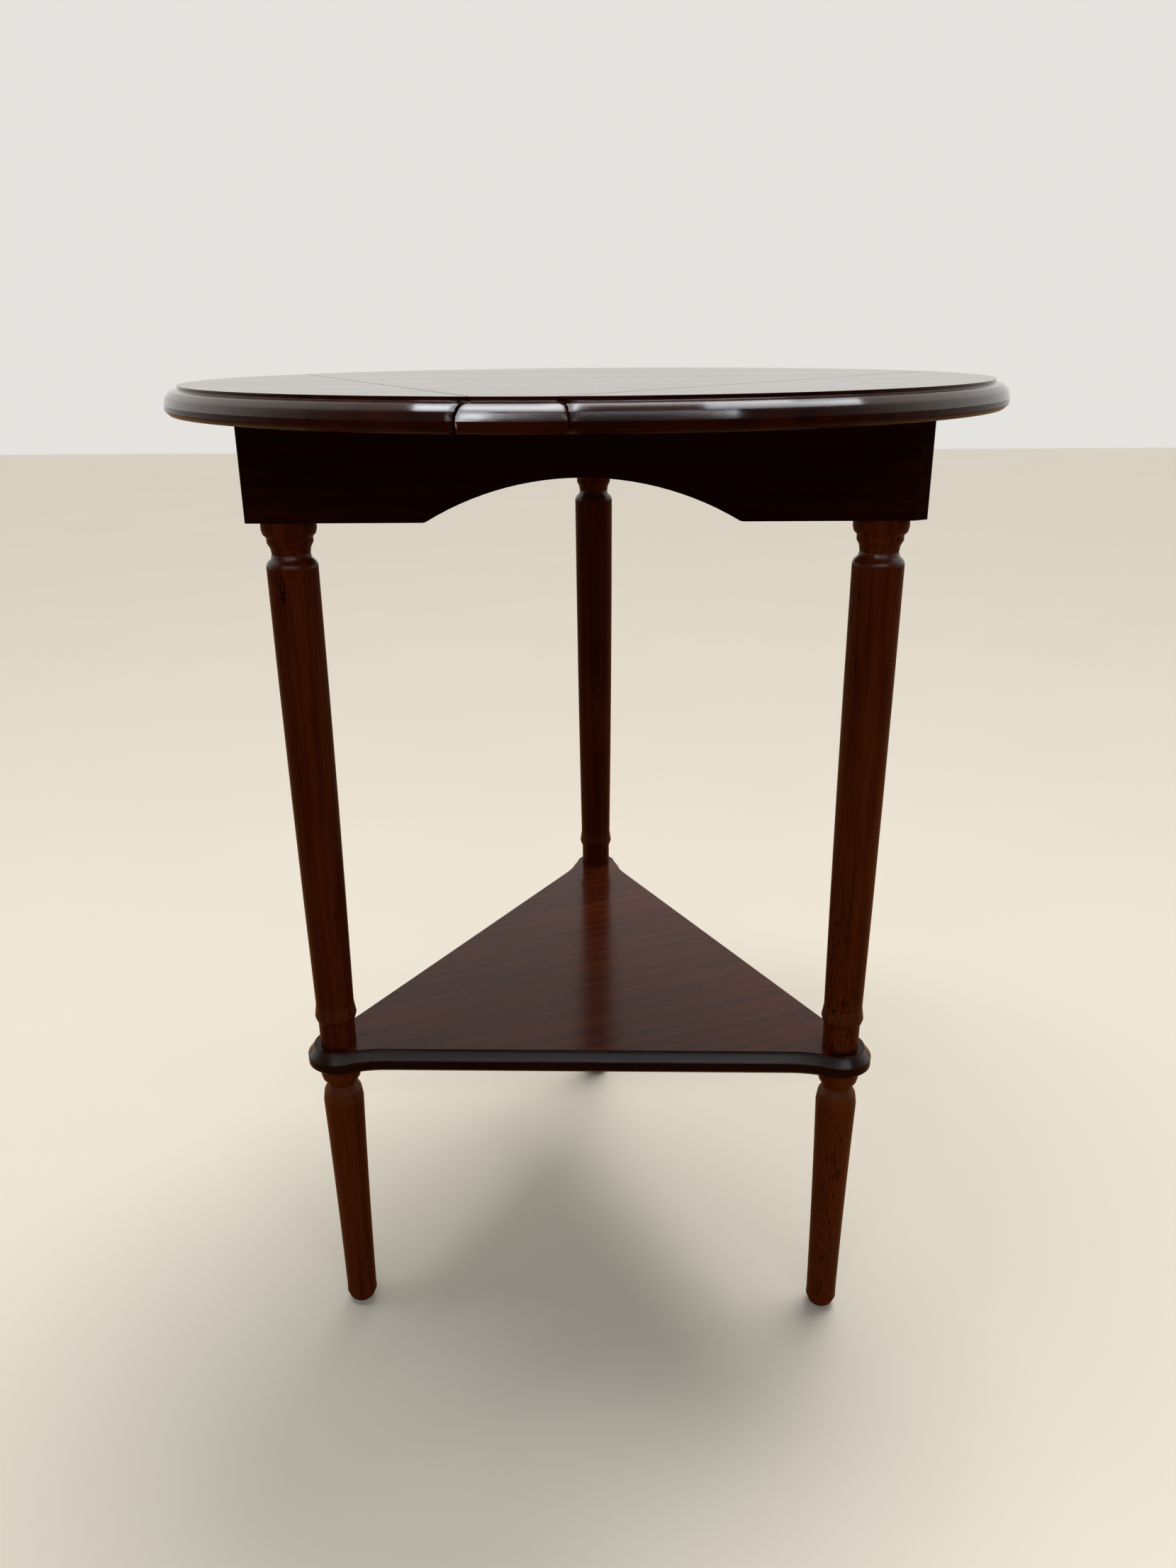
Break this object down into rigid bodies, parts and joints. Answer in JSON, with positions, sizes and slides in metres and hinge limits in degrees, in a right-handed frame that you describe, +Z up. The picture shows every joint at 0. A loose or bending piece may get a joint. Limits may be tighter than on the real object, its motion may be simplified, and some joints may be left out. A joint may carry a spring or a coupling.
{
  "type": "drop-leaf side table",
  "caption": "Round drop-leaf side table with a three-cornered swivelling centre board, leaves on rule joints, arched aprons, turned legs and a lower shelf.",
  "frame": {"origin": "on the floor under the middle of the round top", "axes": "+Z up, -Y towards the front apron, which faces the camera in the picture, +X to the camera's right"},
  "size_m": [0.52, 0.52, 0.662],
  "materials": {
    "mahogany": "gloss lacquer over a dark red-brown stain",
    "inner_wood": "bare wood out of sight under the top",
    "hinge_brass": "satin, a little dulled",
    "pivot_steel": "plain satin steel",
    "bush_brass": "satin"
  },
  "bodies": {
    "frame": {"apron_front": "mahogany", "apron_left": "mahogany", "apron_right": "mahogany", "corner_block_left": "inner_wood", "corner_block_right": "inner_wood", "corner_block_rear": "inner_wood", "pivot_rail": "inner_wood", "pivot_bush": "bush_brass", "shelf": "mahogany", "upper_leg_left": "mahogany", "upper_leg_right": "mahogany", "upper_leg_rear": "mahogany", "lower_leg_left": "mahogany", "lower_leg_right": "mahogany", "lower_leg_rear": "mahogany"},
    "top": {"top_centre": "mahogany", "pivot_plate": "pivot_steel", "pivot_nut": "pivot_steel", "hinge_short_plate_left_1": "hinge_brass", "hinge_short_plate_left_2": "hinge_brass", "hinge_short_plate_right_1": "hinge_brass", "hinge_short_plate_right_2": "hinge_brass", "hinge_short_plate_rear_1": "hinge_brass", "hinge_short_plate_rear_2": "hinge_brass"},
    "leaf_left": {"leaf_left": "mahogany", "hinge_long_plate_left_1": "hinge_brass", "hinge_long_plate_left_2": "hinge_brass"},
    "leaf_right": {"leaf_right": "mahogany", "hinge_long_plate_right_1": "hinge_brass", "hinge_long_plate_right_2": "hinge_brass"},
    "leaf_rear": {"leaf_rear": "mahogany", "hinge_long_plate_rear_1": "hinge_brass", "hinge_long_plate_rear_2": "hinge_brass"}
  },
  "joints": [
    {"name": "top_swivel", "type": "hinge", "parent": "frame", "child": "top", "pos_m": [0, 0, 0.646], "axis": [0, 0, 1], "continuous": true},
    {"name": "leaf_left_lift", "type": "hinge", "parent": "top", "child": "leaf_left", "pos_m": [-0.13034, -0.05803, 0.651], "axis": [-0.4067, 0.9135, 0], "range_deg": [0, 3]},
    {"name": "leaf_right_lift", "type": "hinge", "parent": "top", "child": "leaf_right", "pos_m": [0.11542, -0.08386, 0.651], "axis": [-0.5878, -0.809, 0], "range_deg": [0, 3]},
    {"name": "leaf_rear_lift", "type": "hinge", "parent": "top", "child": "leaf_rear", "pos_m": [0.01491, 0.14189, 0.651], "axis": [0.9945, -0.1045, 0], "range_deg": [0, 3]}
  ]
}
